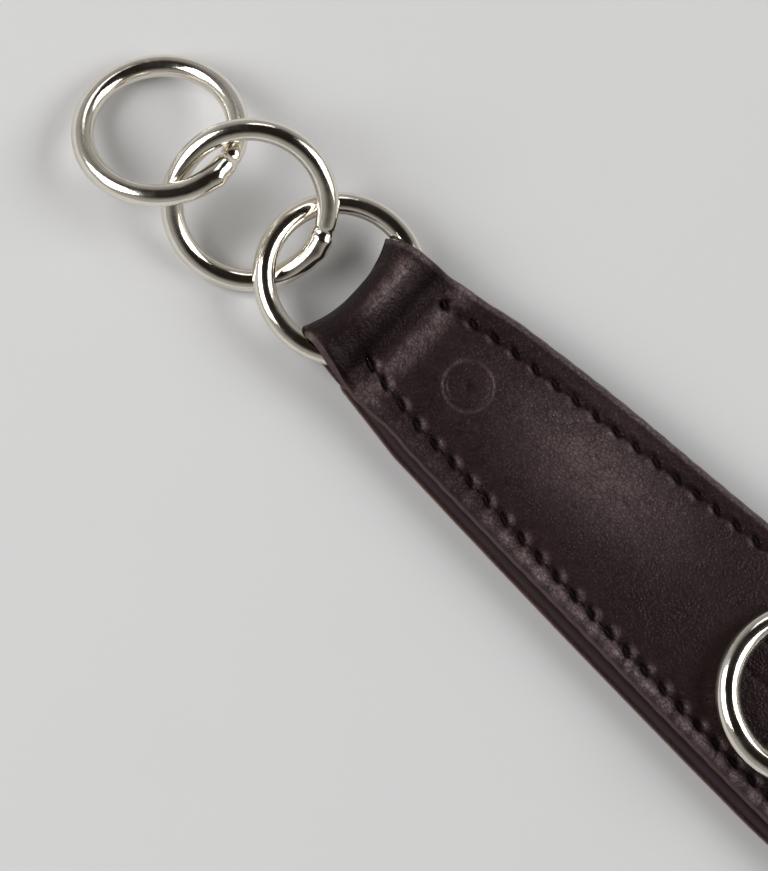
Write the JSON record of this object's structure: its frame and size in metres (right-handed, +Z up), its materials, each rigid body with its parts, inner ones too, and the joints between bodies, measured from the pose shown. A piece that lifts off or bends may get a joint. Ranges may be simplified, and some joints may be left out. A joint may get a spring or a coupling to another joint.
{
  "type": "martingale bridge",
  "caption": "Padded leather martingale strap with linked welded rings folded into both ends and a flop-over ring on the middle of its face.",
  "frame": {"origin": "on the surface that the strap lies on, under the middle of its length and width", "axes": "+X along the strap, +Z up out of the face, +Y across the strap"},
  "size_m": [0.3922, 0.0478, 0.0201],
  "materials": {
    "face_leather": "semi-gloss dark brown bridle leather",
    "backing_leather": "soft dark brown lining leather with painted edges",
    "felt": "wool felt",
    "core": "woven webbing",
    "nickel": "polished nickel plate",
    "thread": "waxed linen thread"
  },
  "bodies": {
    "bridge": {"backing_leather": "backing_leather", "pad_felt": "felt", "core_strap": "core", "face_filler": "felt", "face_leather": "face_leather", "centre_chape": "face_leather", "left_turned_back_end": "face_leather", "right_turned_back_end": "face_leather", "front_edge_stitching": "thread", "rear_edge_stitching": "thread", "front_centre_stitching": "thread", "rear_centre_stitching": "thread"},
    "centre_ring": {"centre_ring": "nickel"},
    "left_loop": {"left_ring_loop": "face_leather"},
    "left_inner_ring": {"left_inner_ring": "nickel"},
    "left_middle_ring": {"left_middle_ring": "nickel"},
    "left_outer_ring": {"left_outer_ring": "nickel"},
    "right_loop": {"right_ring_loop": "face_leather"},
    "right_inner_ring": {"right_inner_ring": "nickel"},
    "right_middle_ring": {"right_middle_ring": "nickel"},
    "right_outer_ring": {"right_outer_ring": "nickel"}
  },
  "joints": [
    {"name": "centre_ring_flop", "type": "hinge", "parent": "bridge", "child": "centre_ring", "pos_m": [0, 0, 0.01295], "axis": [0, 1, 0], "range_deg": [0, 180]},
    {"name": "left_loop_flex", "type": "hinge", "parent": "bridge", "child": "left_loop", "pos_m": [-0.114, 0, 0.0101], "axis": [0, 1, 0], "range_deg": [0, 45]},
    {"name": "left_inner_ring_rock", "type": "hinge", "parent": "left_loop", "child": "left_inner_ring", "pos_m": [-0.12, 0, 0.0078], "axis": [0, 1, 0], "range_deg": [0, 10]},
    {"name": "left_middle_ring_slide_round", "type": "hinge", "parent": "left_inner_ring", "child": "left_middle_ring", "pos_m": [-0.135, 0, 0.0078], "axis": [0, 0, 1], "range_deg": [-45, 35]},
    {"name": "left_outer_ring_slide_round", "type": "hinge", "parent": "left_middle_ring", "child": "left_outer_ring", "pos_m": [-0.15726, -0.00207, 0.01006], "axis": [0.2309, -0.4665, 0.8538], "range_deg": [-60, 30]},
    {"name": "right_loop_flex", "type": "hinge", "parent": "bridge", "child": "right_loop", "pos_m": [0.114, 0, 0.0101], "axis": [0, -1, 0], "range_deg": [0, 45]},
    {"name": "right_inner_ring_rock", "type": "hinge", "parent": "right_loop", "child": "right_inner_ring", "pos_m": [0.12, 0, 0.0078], "axis": [0, -1, 0], "range_deg": [0, 10]},
    {"name": "right_middle_ring_slide_round", "type": "hinge", "parent": "right_inner_ring", "child": "right_middle_ring", "pos_m": [0.135, 0, 0.0078], "axis": [0, 0, 1], "range_deg": [-45, 35]},
    {"name": "right_outer_ring_slide_round", "type": "hinge", "parent": "right_middle_ring", "child": "right_outer_ring", "pos_m": [0.15726, 0.00207, 0.01006], "axis": [-0.2309, 0.4665, 0.8538], "range_deg": [-60, 30]}
  ]
}
